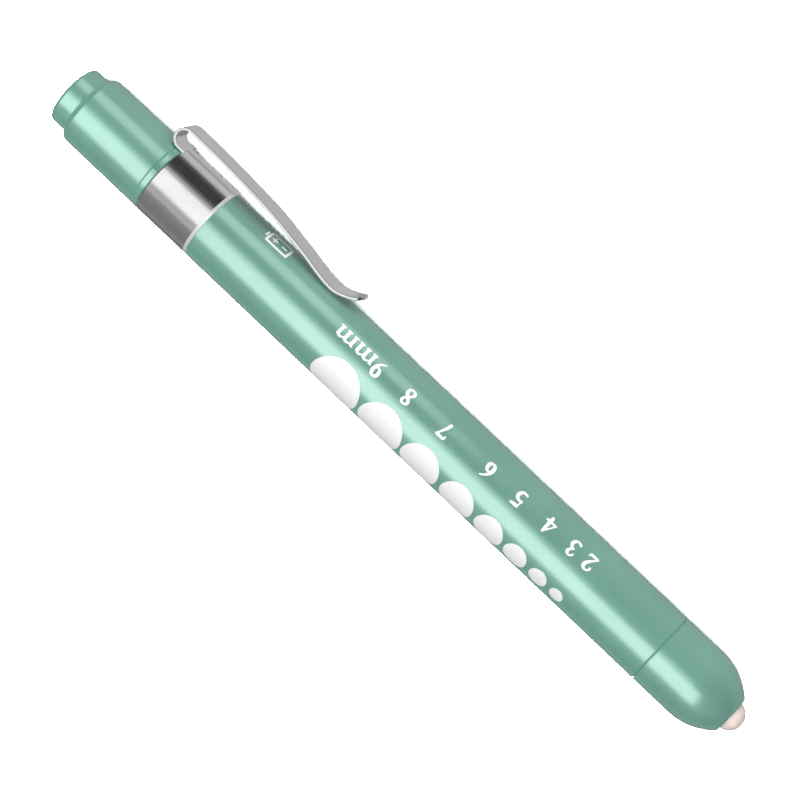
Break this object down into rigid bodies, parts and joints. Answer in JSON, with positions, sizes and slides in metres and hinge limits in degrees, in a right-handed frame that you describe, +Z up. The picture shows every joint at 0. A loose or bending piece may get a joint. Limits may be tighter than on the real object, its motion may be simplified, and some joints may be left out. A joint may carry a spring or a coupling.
{
  "type": "medical penlight",
  "caption": "Slim aluminium penlight with a tail push button, a sprung steel pocket clip, a screw-on lamp head and a printed pupil gauge along its barrel.",
  "frame": {"origin": "centre of the bounding box's base, on the surface the pen lies on", "axes": "+X along the pen from the tail button to the lamp, +Y towards the pocket clip's side, +Z up; the pen lies on its barrel and the clip's outer edge"},
  "size_m": [0.1358, 0.0152, 0.0118],
  "materials": {
    "green_anodised": "satin",
    "clip_steel": "polished",
    "switch_plastic": "matte",
    "plunger_plastic": "satin",
    "lamp_plastic": "satin",
    "contact_brass": "satin",
    "spring_steel": "satin",
    "led_epoxy": "gloss",
    "led_frame": "gloss",
    "led_phosphor": "matte",
    "cell_steel": "gloss",
    "cell_mix": "matte",
    "cell_seal": "matte",
    "cell_label": "gloss"
  },
  "bodies": {
    "barrel": {"barrel": "green_anodised", "tail_bush": "green_anodised", "tail_cap": "green_anodised", "clip_band": "clip_steel", "switch_housing": "switch_plastic", "switch_base": "switch_plastic", "centre_terminal": "contact_brass", "side_terminal": "contact_brass", "negative_spring": "spring_steel", "button_return_spring": "spring_steel"},
    "button": {"push_button": "green_anodised", "switch_plunger": "plunger_plastic", "contact_bridge": "contact_brass"},
    "clip_arm": {"clip_arm": "clip_steel"},
    "cells": {"cell_1_can": "cell_steel", "cell_1_core": "cell_mix", "cell_1_seal": "cell_seal", "cell_1_negative_cap": "cell_steel", "cell_1_label": "cell_label", "cell_2_can": "cell_steel", "cell_2_core": "cell_mix", "cell_2_seal": "cell_seal", "cell_2_negative_cap": "cell_steel", "cell_2_label": "cell_label"},
    "lamp": {"lamp_holder": "lamp_plastic", "led_lens": "led_epoxy", "led_anode_lead": "led_frame", "led_cathode_lead": "led_frame", "led_chip": "led_phosphor", "positive_contact": "contact_brass", "negative_ring": "contact_brass"},
    "head": {"head_shell": "green_anodised"}
  },
  "joints": [
    {"name": "button_press", "type": "slide", "parent": "barrel", "child": "button", "axis": [1, 0, 0], "range_m": [0, 0.0015], "stiffness_N_per_m": 400, "springref_m": -0.0015, "deforming": ["button_return_spring"]},
    {"name": "clip_flex", "type": "hinge", "parent": "barrel", "child": "clip_arm", "pos_m": [-0.04953, 0.00505, 0.00286], "axis": [0, 0.4097, 0.9122], "range_deg": [0, 5], "stiffness_Nm_per_rad": 0.1, "springref_deg": -2.86},
    {"name": "lamp_shift", "type": "slide", "parent": "barrel", "child": "lamp", "axis": [1, 0, 0], "range_m": [0, 0.003]},
    {"name": "head_unscrew", "type": "hinge", "parent": "lamp", "child": "head", "pos_m": [0.05182, -0.00172, 0.0059], "axis": [1, 0, 0], "range_deg": [0, 1440]},
    {"name": "cells_shift", "type": "slide", "parent": "barrel", "child": "cells", "axis": [1, 0, 0], "range_m": [0, 0.003], "deforming": ["negative_spring"]}
  ],
  "couplings": [
    {"joint": "head_unscrew", "follows": "lamp_shift", "rad_per_m": 8377.5},
    {"joint": "cells_shift", "follows": "lamp_shift", "ratio": 1}
  ]
}
